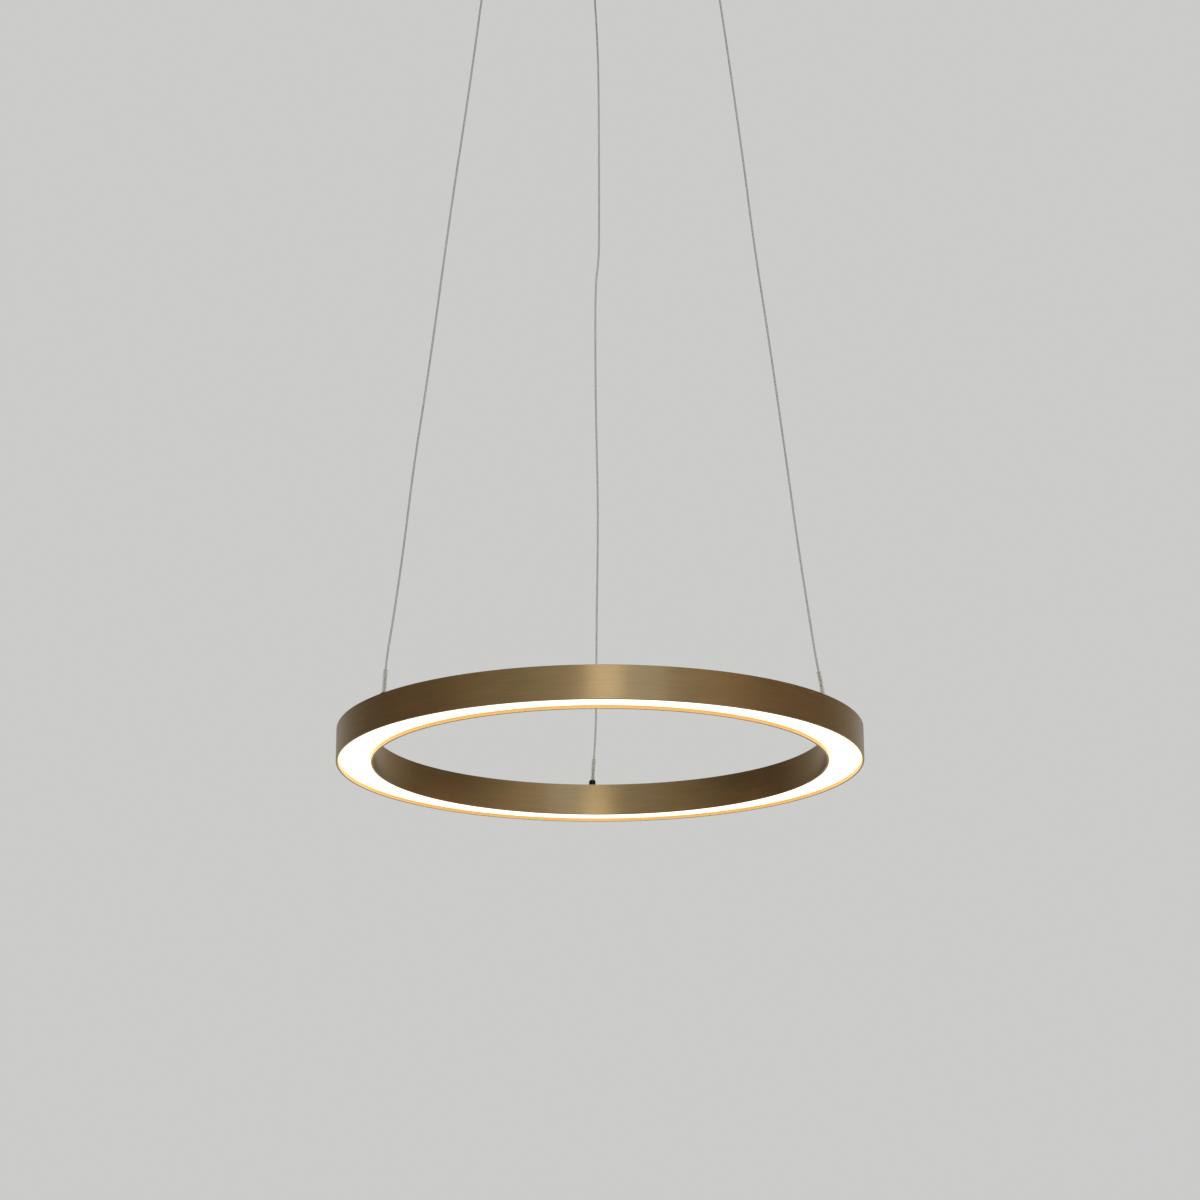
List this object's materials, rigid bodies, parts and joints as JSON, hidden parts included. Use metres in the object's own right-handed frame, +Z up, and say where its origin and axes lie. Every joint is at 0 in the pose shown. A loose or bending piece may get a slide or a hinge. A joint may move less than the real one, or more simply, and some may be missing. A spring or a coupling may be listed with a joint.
{
  "type": "led ring chandelier",
  "caption": "Ring pendant light: brushed brass-coloured channel ring with an opal LED diffuser below, hung level on three thin wires from a round ceiling canopy.",
  "frame": {"origin": "on the ceiling, at the centre of the canopy and its bracket", "axes": "+Z up, out of the bracket's back into the ceiling; +Y towards the rear wire; +X towards the right wire's side"},
  "size_m": [0.3999, 0.4, 0.77],
  "materials": {
    "brushed_brass": "brushed round the ring, brass-coloured lacquer, satin",
    "opal_diffuser": "opal, lit warm white from behind",
    "aluminium_tray": "mill finish",
    "circuit_board": "white solder mask, satin",
    "led_phosphor": "yellow phosphor, lit",
    "plated_steel": "zinc plated",
    "white_plastic": "moulded, matt",
    "black_rubber": "matt",
    "dark_component": "moulded, matt",
    "earth_insulation": "green and yellow insulation",
    "live_insulation": "brown insulation",
    "neutral_insulation": "blue insulation",
    "dark_fitting": "near-black, satin",
    "clear_sleeve": "clear tubing",
    "clear_wire": "steel core in a clear sheath",
    "satin_nickel": "satin nickel plate"
  },
  "bodies": {
    "canopy": {"canopy_cover": "brushed_brass", "ceiling_bracket": "plated_steel", "side_screws": "brushed_brass", "inlet_grommet": "black_rubber", "driver_case": "white_plastic", "driver_lid": "white_plastic", "driver_board": "circuit_board", "driver_components": "dark_component", "driver_screws": "plated_steel", "terminal_block": "white_plastic", "terminal_screws": "plated_steel", "earth_screw": "plated_steel", "earth_lead": "earth_insulation", "live_lead": "live_insulation", "neutral_lead": "neutral_insulation", "gripper_nuts": "plated_steel", "suspension_wire_left": "clear_wire", "suspension_wire_right": "clear_wire", "suspension_wire_rear": "clear_wire", "wire_tail_left": "clear_wire", "wire_tail_right": "clear_wire", "wire_tail_rear": "clear_wire", "gripper_body_left": "satin_nickel", "gripper_body_right": "satin_nickel", "gripper_body_rear": "satin_nickel", "gripper_spring_left": "plated_steel", "gripper_spring_right": "plated_steel", "gripper_spring_rear": "plated_steel"},
    "ring": {"ring_housing": "brushed_brass", "diffuser": "opal_diffuser", "led_carrier": "aluminium_tray", "led_board": "circuit_board", "led_chips": "led_phosphor", "carrier_posts": "aluminium_tray", "carrier_screws": "plated_steel", "ring_connector": "white_plastic", "fitting_nuts": "plated_steel", "led_lead_left": "dark_component", "led_lead_right": "dark_component", "cable_fitting_left": "dark_fitting", "cable_fitting_right": "dark_fitting", "cable_fitting_rear": "dark_fitting", "wire_sleeve_left": "clear_sleeve", "wire_sleeve_right": "clear_sleeve", "wire_sleeve_rear": "clear_sleeve", "wire_ferrule_left": "plated_steel", "wire_ferrule_right": "plated_steel", "wire_ferrule_rear": "plated_steel"},
    "release_left": {"gripper_plunger_left": "satin_nickel", "gripper_balls_left": "plated_steel"},
    "release_right": {"gripper_plunger_right": "satin_nickel", "gripper_balls_right": "plated_steel"},
    "release_rear": {"gripper_plunger_rear": "satin_nickel", "gripper_balls_rear": "plated_steel"}
  },
  "joints": [
    {"name": "height_adjust", "type": "slide", "parent": "canopy", "child": "ring", "axis": [0, 0, 1], "range_m": [0, 0.3], "deforming": ["suspension_wire_left", "suspension_wire_right", "suspension_wire_rear"]},
    {"name": "release_left", "type": "slide", "parent": "canopy", "child": "release_left", "axis": [0, 0, 1], "range_m": [0, 0.0025], "stiffness_N_per_m": 400, "springref_m": -0.004, "deforming": ["gripper_spring_left"]},
    {"name": "release_right", "type": "slide", "parent": "canopy", "child": "release_right", "axis": [0, 0, 1], "range_m": [0, 0.0025], "stiffness_N_per_m": 400, "springref_m": -0.004, "deforming": ["gripper_spring_right"]},
    {"name": "release_rear", "type": "slide", "parent": "canopy", "child": "release_rear", "axis": [0, 0, 1], "range_m": [0, 0.0025], "stiffness_N_per_m": 400, "springref_m": -0.004, "deforming": ["gripper_spring_rear"]}
  ]
}
